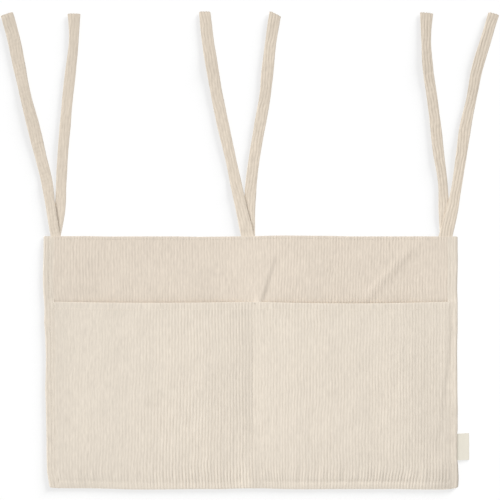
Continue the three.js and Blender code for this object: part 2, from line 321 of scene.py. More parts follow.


# Ties: six straps in three pairs, each a flat closed section carried along its middle line.
# sway and widths stand at equal steps from the seam to the tip, tip is how far the left and right corners
# go past the run, stack is how high an over strap lies on its pair's other one, and ribbed is how strongly
# its ribs show. The strap's lightness comes next, and rubbed is how much lighter near the seam and right
# beside it;
# a darker patch two thirds of the way up, on two straps, is painted shade where they twist.
# held is how high a pair stands off the table beside the seam.
tie = {
    "run": 327, "seam": 182.5, "thickness": 1.7, "overlap": 64, "landed": 96, "root": 14, "tuck": -2.5,
    "fold": 90, "bend": 15, "pitch": 4.2, "ribHeight": 0.5, "lift": (1.9, 2.6), "roll": 0.06,
}
tiePairs = [
    {"name": "left", "x": -283.5, "held": 0, "straps": [
        {"name": "outer", "stack": 2.4, "seed": 11, "tip": (-2.8, 0.6), "ribbed": 0.55, "napAndShading": 0.922,
         "rubbed": (0.06, 0.1), "sway": [-2.2, -8.6, -15.0, -24.9, -34.8, -45.4, -54.1, -62.5, -73.6],
         "widths": [13.8, 14.2, 16.4, 17.0, 18.4, 16.1, 18.0, 18.8, 18.2]},
        {"name": "inner", "stack": 0, "seed": 12, "tip": (-0.6, -1.0), "ribbed": 0.5, "napAndShading": 0.932,
         "rubbed": (0.055, 0.1), "sway": [-2.2, 4.1, 6.1, 8.6, 12.0, 15.6, 20.1, 24.4, 24.6],
         "widths": [13.6, 15.2, 15.2, 15.3, 15.7, 15.6, 15.6, 13.9, 18.9]},
    ]},
    {"name": "centre", "x": -6, "held": 0, "straps": [
        {"name": "left", "stack": 2.4, "seed": 13, "tip": (2.6, 1.8), "ribbed": 0.75, "napAndShading": 0.957,
         "rubbed": (0.055, 0.11), "sway": [0.8, -8.7, -17.5, -26.3, -35.7, -44.0, -51.2, -57.7, -62.2],
         "widths": [19.2, 17.0, 16.4, 15.6, 17.5, 17.0, 17.7, 17.7, 16.4]},
        {"name": "right", "stack": 0, "seed": 14, "tip": (2.6, -4.2), "ribbed": 0.95, "napAndShading": 0.974,
         "rubbed": (0.055, 0.11), "twistShade": 0.04,
         "sway": [3.0, 3.2, 5.5, 11.0, 18.0, 25.2, 29.4, 34.1, 40.5],
         "widths": [15.8, 16.2, 16.6, 15.7, 16.6, 16.4, 17.3, 16.2, 17.8]},
    ]},
    {"name": "right", "x": 283.5, "held": 2.0, "straps": [
        {"name": "inner", "stack": 0, "seed": 15, "tip": (1.2, -0.4), "ribbed": 1.25, "napAndShading": 0.937,
         "rubbed": (0.1, 0.0), "sway": [-1.4, -3.4, -5.3, -11.2, -15.7, -20.8, -26.7, -29.3, -28.6],
         "widths": [14.4, 15.6, 13.4, 16.1, 15.9, 15.1, 15.5, 14.1, 19.0]},
        {"name": "outer", "stack": 1.75, "seed": 16, "tip": (0.4, -1.4), "ribbed": 1.25, "napAndShading": 0.957,
         "rubbed": (0.055, 0.03), "twistShade": 0.07,
         "sway": [-1.3, 8.4, 16.2, 22.2, 28.3, 37.0, 44.8, 57.1, 69.5],
         "widths": [20.0, 17.2, 14.4, 16.1, 16.8, 14.4, 16.5, 16.0, 15.8]},
    ]},
]


def alongTie(values, run):
    # cubic through values at equal steps, free of bend at both ends
    values = np.array(values, float)
    slope = np.gradient(values)
    slope[0] = (3 * (values[1] - values[0]) - slope[1]) / 2
    slope[-1] = (3 * (values[-1] - values[-2]) - slope[-2]) / 2
    place = np.clip(run / tie["run"] * (len(values) - 1), 0, len(values) - 1.000001)
    i = place.astype(int)
    t = place - i
    rise = values[i + 1] - values[i]
    bow = slope[i] + slope[i + 1] - 2 * rise
    return values[i] + t * (slope[i] + t * (rise - slope[i] - bow + t * bow))


def tieRings(pair, strap, run):
    # section: half the thickness up and down, times the root of 1 less the 5th power of the way to the
    # edge, with ribs on both faces; the middle line sways, lifts and rolls a little as it leaves the seam
    over = strap["stack"] > 0
    seed = strap["seed"]
    middleX = pair["x"] + alongTie(strap["sway"], run)
    lean = alongTie(strap["sway"], run + 0.5) - alongTie(strap["sway"], run - 0.5)
    long = np.sqrt(1 + lean**2)
    free = smooth(tie["overlap"] - 6, tie["overlap"] + 60, run)
    low, high = tie["lift"]
    held = pair["held"] * smooth(2, 34, run)
    lift = low + (high - low) * (0.5 + 0.5 * wander(run, seed, 170))
    lift = (held + (lift - held) * free) * (1 - 0.35 * smooth(285, tie["run"], run))
    roll = tie["roll"] * wander(run, seed + 20, 190) * free
    pinched = smooth(tie["tuck"], 17, run)
    upon = 1 - smooth(tie["overlap"], tie["landed"], run)  # as far as it lies on the other strap
    stacked = strap["stack"] * upon * (0.4 + 0.6 * smooth(0, 16, run))
    floorZ = lift + stacked + (0 if over else 0.45) * (1 - pinched)
    ending = 0.55 + 0.45 * smooth(0, 3.2, tie["run"] - run)
    thick = tie["thickness"] * (0.4 + 0.6 * pinched) * ending
    width = alongTie(strap["widths"], run) + 0.35 * wander(run, seed + 40, 60)
    up = -np.cos(np.linspace(0, np.pi, 39))
    down = -np.cos(np.linspace(0, np.pi, 27))[-2:0:-1]
    across = np.concatenate([up, down])[None, :]
    face = np.concatenate([np.ones(len(up)), -np.ones(len(down))])[None, :]
    perStation = (run, width, thick, roll, lean, long, floorZ)
    run, width, thick, roll, lean, long, floorZ = (v[:, None] for v in perStation)
    aside = across * width / 2
    number = aside / tie["pitch"] + 0.35 * wander(run, seed + 60, 120) + 0.22
    plump = np.sqrt(np.clip(1 - np.abs(across) ** 5, 0, 1))
    fading = strap["ribbed"] * (0.65 + 0.35 * dapple(aside * 2.5, run, seed + 70, 45))
    rib = tie["ribHeight"] * (ribs(number) - 0.55) * plump * fading
    crinkle = 0.14 * dapple(aside * 0.6, run, seed + 80, 13) * plump
    hem = 0.3 * bell(run - tie["run"] + 3.6, 0.9) * plump
    half = thick / 2 * plump + np.where(face > 0, rib + crinkle - hem, 0.35 * rib)
    middleZ = floorZ + thick / 2 + np.abs(roll) * width / 2
    z = np.maximum(middleZ + face * half + roll * aside, 0)
    left, right = strap["tip"]
    scallop = 0.9 * strap["ribbed"] * (ribs(number) - 0.7) * plump  # the cut end follows the ribs
    scallop = scallop - 1.4 * np.abs(across) ** 8  # and its corners are worn
    tip = smooth(tie["run"] - 16, tie["run"], run) * (left + (right - left) * (across + 1) / 2)
    tip = tip + smooth(tie["run"] - 4, tie["run"], run) * scallop
    x = middleX[:, None] + (aside + lean * tip) / long
    y = tie["seam"] + run + (tip - lean * aside) / long
    coordinates = np.stack([number + 0 * x, run / tie["pitch"] + seed + 0 * x], axis=-1)
    middle = np.concatenate([middleX[:, None], tie["seam"] + run, middleZ], axis=1)
    return np.stack([x, y, z], axis=-1), coordinates, middle


def tieNapAndShading(strap, run):
    # lighter near the seam, most where the strap is stretched flat, and darker towards its raw end, with
    # painted shade along the cut end
    nearSeam, besideSeam = strap["rubbed"]
    lighter = nearSeam * smooth(90, 20, run) + besideSeam * smooth(tie["root"] + 6, 1, run)
    lighter = lighter + 0.043 * bell(run - 105, 65) - 0.03 * smooth(285, 325, run)
    # painted shade where the strap twists, two thirds of the way up
    lighter = lighter - strap.get("twistShade", 0) * bell(run - 214, 18)
    return strap["napAndShading"] * (1 + lighter - 0.09 * bell(run - tie["run"], 1.3))[:, None]


for pair in tiePairs:
    for strap in pair["straps"]:
        name = pair["name"] + "_" + strap["name"]
        looks = (tieCorduroy, strap["ribbed"])
        run = np.linspace(tie["tuck"], tie["root"], 18)
        rings, coordinates, middle = tieRings(pair, strap, run)
        root = carried("strap_" + name + "_root", rings, coordinates, *looks, tieNapAndShading(strap, run))
        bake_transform(root)
        run = np.linspace(tie["root"], tie["run"], 210)
        rings, coordinates, middle = tieRings(pair, strap, run)
        piece = carried("strap_" + name, rings, coordinates, *looks, tieNapAndShading(strap, run))
        bend = tieRings(pair, strap, tie["fold"] + tie["bend"] * np.array([-1.0, 1.0]))[2]
        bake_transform(piece)
        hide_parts("tie_" + name + "_stem", "tie_" + name + "_tail")
print("ties laid")


# Floor, lamps and world. The floor is seen and takes shadows, and lights nothing itself.
stageSet = {"floorZ": -0.0006, "half": 12, "albedo": 0.34, "glow": 0.594, "sky": 0.72, "thrownBack": 0.26}
floorMesh = bpy.data.meshes.new("floor")
h, floorZ = stageSet["half"], stageSet["floorZ"]
floorCorners = [(-h, -h, floorZ), (h, -h, floorZ), (h, h, floorZ), (-h, h, floorZ)]
floorMesh.from_pydata(floorCorners, [], [(0, 1, 2, 3)])
floor = bpy.data.objects.new("floor", floorMesh)
scene.collection.objects.link(floor)
floor.visible_diffuse = False
floor.visible_shadow = False
table = bpy.data.materials.new("white table")
table.use_nodes = True
tree = table.node_tree
tree.nodes.clear()
matt = addNode(tree, "BsdfDiffuse", {"Color": (stageSet["albedo"],) * 3 + (1,)}).outputs[0]
glow = addNode(tree, "Emission", {"Color": (1, 1, 1, 1), "Strength": stageSet["glow"]}).outputs[0]
lit = addNode(tree, "AddShader", {0: matt, 1: glow}).outputs[0]
clear = addNode(tree, "BsdfTransparent").outputs[0]
below = addNode(tree, "NewGeometry").outputs["Backfacing"]
surface = addNode(tree, "MixShader", {0: below, 1: lit, 2: clear}).outputs[0]
addNode(tree, "OutputMaterial", {"Surface": surface})
floorMesh.materials.append(table)


def addSun(name, toward, elevation, angle, share, linked, state):
    # a soft lamp from a compass direction; share is the light that it gives a level surface
    data = bpy.data.lights.new(name, "SUN")
    data.angle = math.radians(angle)
    high = math.radians(elevation)
    data.energy = share * math.pi / math.sin(high)
    lamp = bpy.data.objects.new(name, data)
    lamp.rotation_euler = (0, math.pi / 2 - high, math.radians(toward))
    scene.collection.objects.link(lamp)
    receivers = bpy.data.collections.new(name + " receivers")
    receivers.objects.link(linked)
    receivers.collection_objects[0].light_linking.link_state = state
    lamp.light_linking.receiver_collection = receivers


addSun("cloth lamp", toward=145, elevation=34, angle=26, share=0.30, linked=floor, state="EXCLUDE")
addSun("floor lamp", toward=45, elevation=15.2, angle=28, share=0.51, linked=floor, state="INCLUDE")
world = bpy.data.worlds.new("studio")
scene.world = world
world.use_nodes = True
tree = world.node_tree
tree.nodes.clear()
path = addNode(tree, "LightPath").outputs
seen = calc(tree, "MAXIMUM", path["Is Glossy Ray"], path["Is Transmission Ray"])
seen = calc(tree, "MAXIMUM", path["Is Camera Ray"], seen)
direction = addNode(tree, "SeparateXYZ", {0: addNode(tree, "TexCoord").outputs["Generated"]}).outputs[2]
fromBelow = calc(tree, "LESS_THAN", direction, 0.0)  # the white table throws light back up
strength = calc(tree, "MULTIPLY_ADD", fromBelow, stageSet["thrownBack"], stageSet["sky"])
soft = addNode(tree, "Background", {"Color": (1, 1, 1, 1), "Strength": strength}).outputs[0]
white = addNode(tree, "Background", {"Color": (1, 1, 1, 1), "Strength": 1.0}).outputs[0]
surface = addNode(tree, "MixShader", {0: seen, 1: soft, 2: white}).outputs[0]
addNode(tree, "OutputWorld", {"Surface": surface})
print("floor and lamps set")


# How the panel lies: its edges aren't quite straight, and every ply and seam of it shares that.
# Each edge has the places along it and how far it lies from a straight line there.
lies = {
    "left": ([-182, -173, -159, -115, -72, -40, 4, 16, 37, 59, 81, 103, 125, 147, 182],
             [5.15, 3.8, 1.6, 0.8, 0.1, -0.8, -0.1, -0.2, -0.8, -2.5, -2.0, -3.9, -4.3, -3.7, -3.3]),
    "right": ([-182, -170, -160, -149, -142, -122, -104, -97, -66, -40, 30, 50, 91, 110, 137, 182],
              [1.2, 1.9, 1.5, 1.0, -0.1, -0.4, -0.2, 0.5, 0.5, -0.1, -0.3, 0.3, 0.3, -0.2, 0.4, 0.4]),
    "bottom": ([-300, -286, -270, -238, -206, -174, -142, -110, -78, -46,
                -14, 18, 50, 82, 114, 210, 242, 278, 288, 299],
               [0.6, -0.2, -0.4, -0.4, -1.1, -2.2, -2.2, -1.9, -1.5, -1.7,
                -0.6, -0.6, -1.6, -1.9, -1.6, -1.5, -2.1, -2.3, -1.6, 0.6]),
    "top": ([-270, -238, -206, -174, -110, -78, -46, 0, 36, 50, 82, 114, 146, 210, 242, 270],
            [1.9, 2.0, 1.4, 1.6, 1.6, 1.0, 1.3, 1.9, 2.8, 2.9, 2.6, 2.3, 1.6, 1.6, 1.7, 1.6]),
}


def offLine(edge, place):
    # linear between the edge's table values
    return np.interp(place, *lies[edge])


def settle(points):
    # each point moves as its nearest edges do, by a smoothstep from the middle out
    x, y, z = points[..., 0], points[..., 1], points[..., 2]
    dx = smooth(-170, -300, x) * offLine("left", y) + smooth(170, 300, x) * offLine("right", y)
    dy = smooth(-70, -182, y) * offLine("bottom", x) + smooth(90, 182, y) * offLine("top", x)
    return np.stack([x + dx, y + dy, z], axis=-1)


def clothRows(*spans):
    # rows from the first place to the last, each span as (from, to, steps)
    return np.concatenate([np.linspace(a, b, n, endpoint=False) for a, b, n in spans] + [[spans[-1][1]]])


def turned(first, last, steps, reach, wayOut):
    # a half round from one face's edge to the other's:
    # the cosine reaches out, and the sine goes from top to bottom
    turn = np.linspace(np.pi / 2, -np.pi / 2, steps + 2)[1:-1]
    middle, half = (first + last) / 2, (first - last) / 2
    rounded = middle[:, None] + half[:, None] * np.sin(turn)[None, :, None]
    rounded[..., 1] += wayOut * reach * np.cos(turn)[None, :]
    return rounded


def panelColumns(ply):
    return np.linspace(-ply["half"], ply["half"], int(2 * ply["half"] / ply["pitch"] * ply["perRib"]) + 1)


def ribNumber(x, ply):
    return x / ply["pitch"] + 0.2


def strayed(x, y, seed, amount):
    # ribs wander sideways a little, in sweeps of three lengths, except at the sewn sides
    sweeps = dapple(x * 0.35, y, seed, 170) + 0.35 * dapple(x * 0.6, y, seed + 50, 62)
    sweeps = sweeps + 0.45 * dapple(x * 0.5, y, seed + 90, 30)
    return x + amount * sweeps * smooth(296, 268, np.abs(x))


def spread(table, x, y):
    # a value over the cloth from a small table: linear up each of its columns, and linear between them
    columns = [np.interp(y, table["y"], column) for column in table["columns"]]
    shares = [np.interp(x, table["x"], row) for row in np.eye(len(table["x"]))]
    return sum(a * b for a, b in zip(columns, shares))


def pressedSide(x):
    # the side seams press the plies together
    return smooth(284, 293, np.abs(x))


# reach is where the long rows of stitches end, tack the step in a bartack, and twist the thread's own step
stitch = {
    "pitch": 3.82, "length": 2.9, "radius": 0.28, "sink": 0.3, "twist": 0.35, "reach": 284.7, "tack": 0.62,
}

# Outer ply: ribs along Y, seen above the pockets' mouth, with the soft folds that packing left
outer = {
    "half": 296, "top": tie["seam"], "foot": -180.4, "pitch": 4.36, "perRib": 8, "ground": 1.9,
    "under": 0.85, "ribHeight": 0.31, "stitchRow": 178.5, "fold": 2.4,
    # how far the ribs have leaned sideways by the mouth, in mm
    "lean": ([-296, -78, -34, 9, 35, 53, 97, 140, 184, 228, 271, 296],
             [0, 0.4, 0.6, 1.4, -0.8, -1.6, -1.2, -1, -2.8, -1, 0.7, 0]),
}


def slantingCrease(x, y):
    # a bell across a line that climbs to the right, from above the mouth to below the top seam
    across = (x - 198) * 0.755 - (y - 127.8) * 0.656
    return bell(across, 7) * smooth(80, 100, y) * smooth(178, 158, y)


def foldRidge(y):
    # a straight line that starts at the divider's end and leans to the right
    return 11.5 + 0.315 * (y - 91)


def outerGround(x, y):
    # cloth under the pile: level, with a fold that climbs by a smoothstep from its flank to its ridge and
    # falls off steeply on the right, a slanting crease at the right, and slow waves
    ridge = foldRidge(y)
    flank = -45 * smooth(90, 132, y)
    grown = 0.58 * smooth(167, 145, y) + 0.42 * smooth(140, 92, y) - 0.25 * smooth(106, 91, y)
    climb = smooth(0, 1, (x - flank) / (ridge - flank)) * (1 - smooth(0, 8, x - ridge))
    fold = outer["fold"] * grown * smooth(72, 89, y) * climb
    slow = 0.35 * dapple(x, y, 5, 150) * smooth(182, 150, y) * smooth(60, 90, y)
    loose = fold + slantingCrease(x, y) + slow
    return outer["ground"] + loose * (1 - pressedSide(x)) - 0.9 * pressedSide(x)


columns = panelColumns(outer)
rowsUp = clothRows((outer["top"] - 0.6, 172, 12), (172, 70, 36), (70, outer["foot"] + 0.7, 7))
rowsBack = clothRows((outer["foot"] + 0.7, outer["top"] - 0.6, 8))
x, y = np.meshgrid(columns, rowsUp, indexing="ij")
ribbed = 0.7 + 0.3 * smooth(-20, 120, x) - 0.2 * smooth(215, 275, x)  # less at the left and the right end
crease = slantingCrease(x - 5, y)  # ribs stand out on its far side
height = outer["ribHeight"] * ribbed * (0.95 + 0.4 * dapple(x, y * 0.6, 33, 90) + 0.9 * crease)
rise = height * ribs(ribNumber(x, outer)) * (1 - 0.4 * smooth(180.6, 181.9, y))
pricked = (0.5 + 0.5 * np.cos(2 * np.pi * (x - 1.34) / stitch["pitch"])) * bell(y - outer["stitchRow"], 1.2)
leaned = strayed(x, y, 31, 0.5) + np.interp(x, *outer["lean"]) * np.clip((178 - y) / 86, 0, 1)
face = np.stack([leaned, y, outerGround(leaned, y) + rise - 0.25 * pricked], axis=-1)
# painted shade: the face darkens towards both ends, where the light falls off
faceNapAndShading = 0.995 + 0.02 * bell(x + 12, 30) - 0.016 * smooth(-180, -285, x) - 0.008 * smooth(150, 285, x)
faceNapAndShading += 0.022 * bell(x - 44, 16) - 0.009 * smooth(-40, -80, x)
mouthCornerShade = smooth(-232, -268, x) + smooth(236, 272, x)  # along the mouth: painted light over the shade of the pocket's lip, and painted shade deepening it in its corners
faceNapAndShading += (0.03 + 0.03 * bell(x - 95, 35) - 0.11 * mouthCornerShade) * bell(y - 90.2, 2.1)
faceNapAndShading -= 0.03 * smooth(-205, -245, x) * bell(y - 105, 10)
faceNapAndShading += 0.035 * bell(x - 11.5 - foldRidge(y), 7) * smooth(150, 115, y)  # painted highlight beside the fold
faceNapAndShading -= 0.06 * pricked + 0.02 * crease  # painted shade in the needle holes of the stitch row and along the slanting crease
x, y = np.meshgrid(columns, rowsBack, indexing="ij")
back = np.stack([x, y, outer["under"] - 0.2 * pressedSide(x)], axis=-1)
foot = turned(face[:, -1], back[:, 0], 4, 0.7, -1)
head = turned(face[:, 0], back[:, -1], 4, 0.6, 1)[:, ::-1]
rings = np.concatenate([face, foot, back, head], axis=1)
number = np.broadcast_to(ribNumber(columns, outer)[:, None], rings.shape[:2])
coordinates = np.stack([number, rings[..., 1] / outer["pitch"]], axis=-1)
around = np.concatenate([
    np.ones(len(rowsUp)), np.linspace(1, 0, 4), np.zeros(len(rowsBack)), np.linspace(0, 1, 4),
])
pile = around[None, :] * ribbed[:, :1]
napAndShading = np.concatenate([faceNapAndShading, np.ones((len(columns), len(around) - len(rowsUp)))], axis=1)
outerPly = carried("outer_corduroy", settle(rings), coordinates, panelCorduroy, pile, napAndShading)
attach(outerPly, "panel")
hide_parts("outer_panel")
print("outer ply laid")

# Lining: one plain sheet of thin cotton
lining = {"half": 298.4, "top": 182.2, "foot": -180.9, "thickness": 0.5}
columns = np.linspace(-lining["half"], lining["half"], 121)
x, y = np.meshgrid(columns, np.linspace(lining["top"] - 0.4, lining["foot"] + 0.4, 60), indexing="ij")
under = 0.08 + 0.08 * dapple(x, y, 77, 120)
face = np.stack([x, y, under + lining["thickness"]], axis=-1)
back = np.stack([x, y, under], axis=-1)[:, ::-1]
foot = turned(face[:, -1], back[:, 0], 4, 0.4, -1)
head = turned(face[:, 0], back[:, -1], 4, 0.4, 1)[:, ::-1]
rings = np.concatenate([face, foot, back, head], axis=1)
liningPly = carried("lining_cloth", settle(rings), rings[..., :2].copy(), liningCotton, 0.0)
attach(liningPly, "panel")
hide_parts("lining_panel")
print("lining laid")

# Pocket strip: crowned between its seams, with a turned hem at the mouth and its foot rolled under
pocket = {
    "half": 296, "mouth": 88.5, "foot": -182.9, "pitch": 4.51, "perRib": 8, "ground": 3.5, "under": 2.75,
    "ribHeight": 0.28, "rise": 6.5, "mouthRise": 4.0, "ramp": 70, "taper": 110, "side": 284, "divider": 2.0,
    "seamFoot": -173, "hem": 10, "stitchRow": -173.5, "lip": 1.2, "roll": 2.2, "footZ": 0.35,
    "ribbed": 0.93,
    "fold": {"y": [-112, -76, -51, -29, 4, 41, 80], "x": [271, 275.7, 278.6, 282, 287, 289.5, 288.7],
             "height": [0.5, 0.9, 1.3, 1.5, 1.5, 1.4, 0.9]},
    "dent": {"x": [-279, -192, -148, -34, 41, 114, 158, 216, 274],
             "depth": [0.5, 0.3, 0, 0.05, 0.4, 0.7, 0.9, 0.6, 0.6]},
    "lean": {  # how far the ribs stray sideways, in mm
        "y": [-160, -98, -51, -5, 42, 88], "x": [-296, -284, -215, -80, -20, 20, 80, 215, 284, 296],
        "columns": [
            [0] * 6, [-6.6, -5.7, -4.7, -4.2, -2.4, -1.5], [-5.8, -4.5, -3.5, -2.8, -0.9, 0.2],
            [-1.8, -0.3, 1.2, 1.7, 1.4, 0.7], [0.2] * 6, [0] * 6, [-4.6, -4.3, -3.0, -1.9, -0.5, -0.2],
            [-0.9, -0.6, -0.9, -0.4, -0.8, -1.6], [-2.4, -2.2, -2.4, -2.2, -2.4, -3.0], [0] * 6,
        ],
    },
}


def pocketSlack(x, y):
    # the strip stands off by rise, times a smoothstep in from the side seams and an ease-out from the
    # divider and up from the foot seam, and comes down to mouthRise at the taut hem
    fromSide = smooth(0, pocket["ramp"], pocket["side"] - np.abs(x))
    fromDivider = easeOut(np.abs(x) - pocket["divider"], pocket["ramp"])
    up = easeOut(y - pocket["seamFoot"], pocket["ramp"])
    taut = smooth(pocket["mouth"] - pocket["taper"], pocket["mouth"], y)
    return (pocket["rise"] + (pocket["mouthRise"] - pocket["rise"]) * taut) * fromSide * fromDivider * up


def rightFold(x, y):
    # a long fold beside the right seam: it rises over 66 mm and falls over the last 8 mm
    fold = pocket["fold"]
    past = x - np.interp(y, fold["y"], fold["x"])
    high = np.interp(y, fold["y"], fold["height"]) * smooth(-150, -100, y) * smooth(94, 84, y)
    return high * smooth(-70, -4, past) * (1 - smooth(-4, 4, past))


def pocketGround(x, y):
    # slack, slow waves, gathers along the foot seam and beside the divider, and the foot seam's dent
    slack = pocketSlack(x, y)
    slow = 0.4 * dapple(x, y, 6, 130) * slack / pocket["rise"]
    gathers = (0.3 + 0.2 * smooth(0, 150, x)) * wander(x, 8, 21) * bell(y + 162, 11)
    gathers = gathers * smooth(3, 25, np.abs(x))
    pull = 0.3 * wander(y, 9, 34) * bell(np.abs(x) - 14, 9) * smooth(-165, -120, y)
    dent = np.interp(x, pocket["dent"]["x"], pocket["dent"]["depth"]) * bell(y + 171.5, 3)
    loose = slow + gathers + pull + rightFold(x, y) - dent
    return pocket["ground"] - 1.1 * pressedSide(x) + slack + loose * (1 - pressedSide(x))


def pocketRibbed(x, y):
    # how strongly the ribs show, by a sum of smoothsteps and bells: least at the upper left, and most low
    # down left of the divider and half way down the right
    faint = 0.5 * smooth(-110, -200, x) * (1 - 0.45 * smooth(60, -150, y))
    faint = faint + 0.2 * smooth(-255, -280, x) * smooth(-60, 20, y)
    leftStrong = bell(x + 80, 60) * (0.3 + 0.5 * smooth(0, -100, y))
    rightStrong = 0.4 * bell(x - 215, 60) * bell(y + 45, 45)
    rightStrong = rightStrong + bell(x - 80, 60) * (0.2 + 0.2 * smooth(20, 88, y))
    return pocket["ribbed"] - faint + leftStrong + rightStrong


def mouthSag(x):
    # the mouth hangs lower towards the middle of each pocket
    inside = np.clip((np.abs(x) - pocket["divider"]) / (pocket["side"] - pocket["divider"]), 0, 1)
    return (1.5 + 0.9 * (x > 0)) * np.sin(np.pi * inside) - 0.6


columns = panelColumns(pocket)
edge = pocket["foot"] + pocket["roll"]
rowsUp = clothRows((pocket["mouth"] - pocket["lip"], 72, 14), (72, -156, 33), (-156, edge, 15))
rowsBack = clothRows((edge + 0.5, -170, 3), (-170, -100, 7), (-100, 74, 5), (74, 79, 3), (79, 87.3, 2))
x, y = np.meshgrid(columns, rowsUp, indexing="ij")
pressed = 1 - 0.3 * smooth(pocket["mouth"] - 3, pocket["mouth"] - pocket["lip"], y)
deeper = 0.8 + 0.35 * dapple(x * 1.5, y * 0.4, 34, 60) + 0.9 * bell(x + 16, 16)
deeper = deeper + (0.3 + 0.5 * smooth(-60, -150, y)) * smooth(120, 260, x)
deeper = deeper + (1.1 + 0.9 * smooth(60, 200, x)) * bell(y + 165, 15)
ribbed = pocketRibbed(x, y)
rise = pocket["ribHeight"] * ribs(ribNumber(x, pocket)) * pressed * deeper * ribbed
slant = smooth(-146, -180, y) * (2.6 * bell(x - 28, 26) - 4.6 * bell(x - 225, 60) + 1.4 * bell(x + 100, 70))
x = strayed(x, y, 32, 0.6) + spread(pocket["lean"], x, y) + slant
sag = mouthSag(x) * smooth(20, pocket["mouth"], y)
face = np.stack([x, y - sag, pocketGround(x, y) + rise], axis=-1)
# how light the face is, with painted light and shade: darker towards both ends, where the light falls off,
# lighter just left of the divider and darker just right of it, standing in for the light on the crown's
# slopes there, and darker below the foot seam
faceNapAndShading = 1 - 0.03 * smooth(-215, -290, x) - 0.012 * smooth(170, 290, x) - 0.012 * bell(x - 165, 50)
faceNapAndShading += 0.012 * bell(x + 14, 10) - 0.022 * smooth(0.5, 2, x) * smooth(65, 5, x)
faceNapAndShading += 0.03 * (ribbed - pocket["ribbed"])
# the first term is painted light over the shade along the left band's inner edge
faceNapAndShading += 0.03 * bell(x + 286, 3) - 0.02 * bell(x + 250, 36) - 0.008 * bell(x + 225, 35)
faceNapAndShading -= 0.08 * smooth(240, 275, x) * smooth(-140, -160, y)
below = 0.012 + 0.025 * smooth(20, 120, x) + 0.02 * smooth(-190, -250, x)
faceNapAndShading -= below * smooth(-174, -177.5, y)
# the divider's seam is a dark line, and low down painted light on its left and painted shade on its right
# stand in for how the light falls on the slopes beside it
seamLine = 0.12 * bell(x + 0.2, 1.1) * smooth(60, 30, y) * (1 - 0.5 * smooth(-120, -150, y))
faceNapAndShading += (0.045 * bell(x + 12, 12) - 0.03 * bell(x - 8, 10)) * smooth(-85, -105, y) - seamLine
faceNapAndShading -= 0.045 * smooth(262, 285, x) * smooth(-45, -75, y)
faceNapAndShading += 0.025 * bell(y - 87, 1.6)  # the hem's lip, which faces the lamp, has a painted highlight, and its stitched line is lighter
faceNapAndShading += np.where(x < 0, 0.045, 0.025) * bell(y - pocket["mouth"] + pocket["hem"], 0.9)
x, y = np.meshgrid(columns, rowsBack, indexing="ij")
sag = mouthSag(x) * smooth(20, pocket["mouth"], y)
hemTurned = np.minimum(1.0, pocketSlack(x, y)) * smooth(74, 79, y)
backZ = pocket["under"] + pocketSlack(x, y) - hemTurned - 0.8 * pressedSide(x)
back = np.stack([x, y - sag, backZ], axis=-1)
quarter = np.linspace(0, np.pi / 2, 8)[1:]  # a quarter round down to the table, then back up inside it
start = face[:, -1][:, None, :]
outY = start[..., 1] - pocket["roll"] * np.sin(quarter)[None, :]
outZ = pocket["footZ"] + (start[..., 2] - pocket["footZ"]) * np.cos(quarter)[None, :]
inY = pocket["foot"] + np.array([0.8, 1.2, 2.0])[None, :] + 0 * outY[:, :3]
pressedIn = 0.5 * pressedSide(start[..., 0]) * np.array([0, 0.5, 1])[None, :]
inZ = np.array([pocket["footZ"], 1.0, 1.7])[None, :] - pressedIn
rollY, rollZ = np.concatenate([outY, inY], axis=1), np.concatenate([outZ, inZ], axis=1)
foot = np.stack([start[..., 0] + 0 * rollY, rollY, rollZ], axis=-1)
head = turned(face[:, 0], back[:, -1], 5, pocket["lip"], 1)[:, ::-1]
rings = np.concatenate([face, foot, back, head], axis=1)
number = np.broadcast_to(ribNumber(columns, pocket)[:, None], rings.shape[:2])
coordinates = np.stack([number, rings[..., 1] / pocket["pitch"]], axis=-1)
rest = np.concatenate([np.ones(len(quarter)), [0.6, 0.3, 0], np.zeros(len(rowsBack)), np.linspace(0, 1, 5)])
pile = np.concatenate([ribbed, np.broadcast_to(rest, (len(columns), len(rest)))], axis=1)
# painted light on the rolled foot, which turns away from the lamp
footPaintedLight = np.broadcast_to(0.99 + 0.42 * np.sin(quarter) ** 2, outY.shape)
napAndShading = np.concatenate([faceNapAndShading, footPaintedLight, np.ones((len(columns), len(rest) - len(quarter)))], axis=1)
pocketStrip = carried("pocket_corduroy", settle(rings), coordinates, pocketCorduroy, pile, napAndShading)
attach(pocketStrip, "panel")
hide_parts("pocket_panel")
print("pockets laid")

# Side bands: a strip folded over each side edge, its ribs along the edge and its corners rounded off.
# left, right and upperLeft are how high the crown along the outer edge stands.
band = {
    "inner": 285, "edge": 298.2, "outer": 300, "end": outer["top"], "footZ": 0.3, "onPanel": 2.0,
    "onPocket": 3.55, "thickness": 0.8, "pitch": 4.6, "ribHeight": 0.25, "stitchRow": 291, "groove": 0.2,
    "left": 0.2, "right": 0.55, "upperLeft": 1.7,
    "corners": {(-1, -1): 2.2, (-1, 1): 1.6, (1, -1): 2.4, (1, 1): 1.6},
}


def belowMouth(y):
    # a smoothstep from 0 above the pockets' mouth to 1 below it
    return smooth(95, 86, y)


def bandTop(x, y):
    # the inner edge is flush with the pocket strip below the mouth and with the outer ply above it;
    # the stitches press a groove, and outside it the strip rises to its crown by a smoothstep
    below = belowMouth(y)
    crown = np.where(x < 0, band["left"], band["right"]) * smooth(band["stitchRow"], 298, np.abs(x))
    crown = crown * (0.2 + 0.8 * below)
    crown = crown + band["upperLeft"] * smooth(-band["inner"], -298, x) * (1 - below) * smooth(190, 165, y)
    groove = band["groove"] * bell(np.abs(x) - band["stitchRow"], 1.6)
    return band["onPanel"] + (band["onPocket"] - band["onPanel"]) * below + crown - groove + rightFold(x, y)


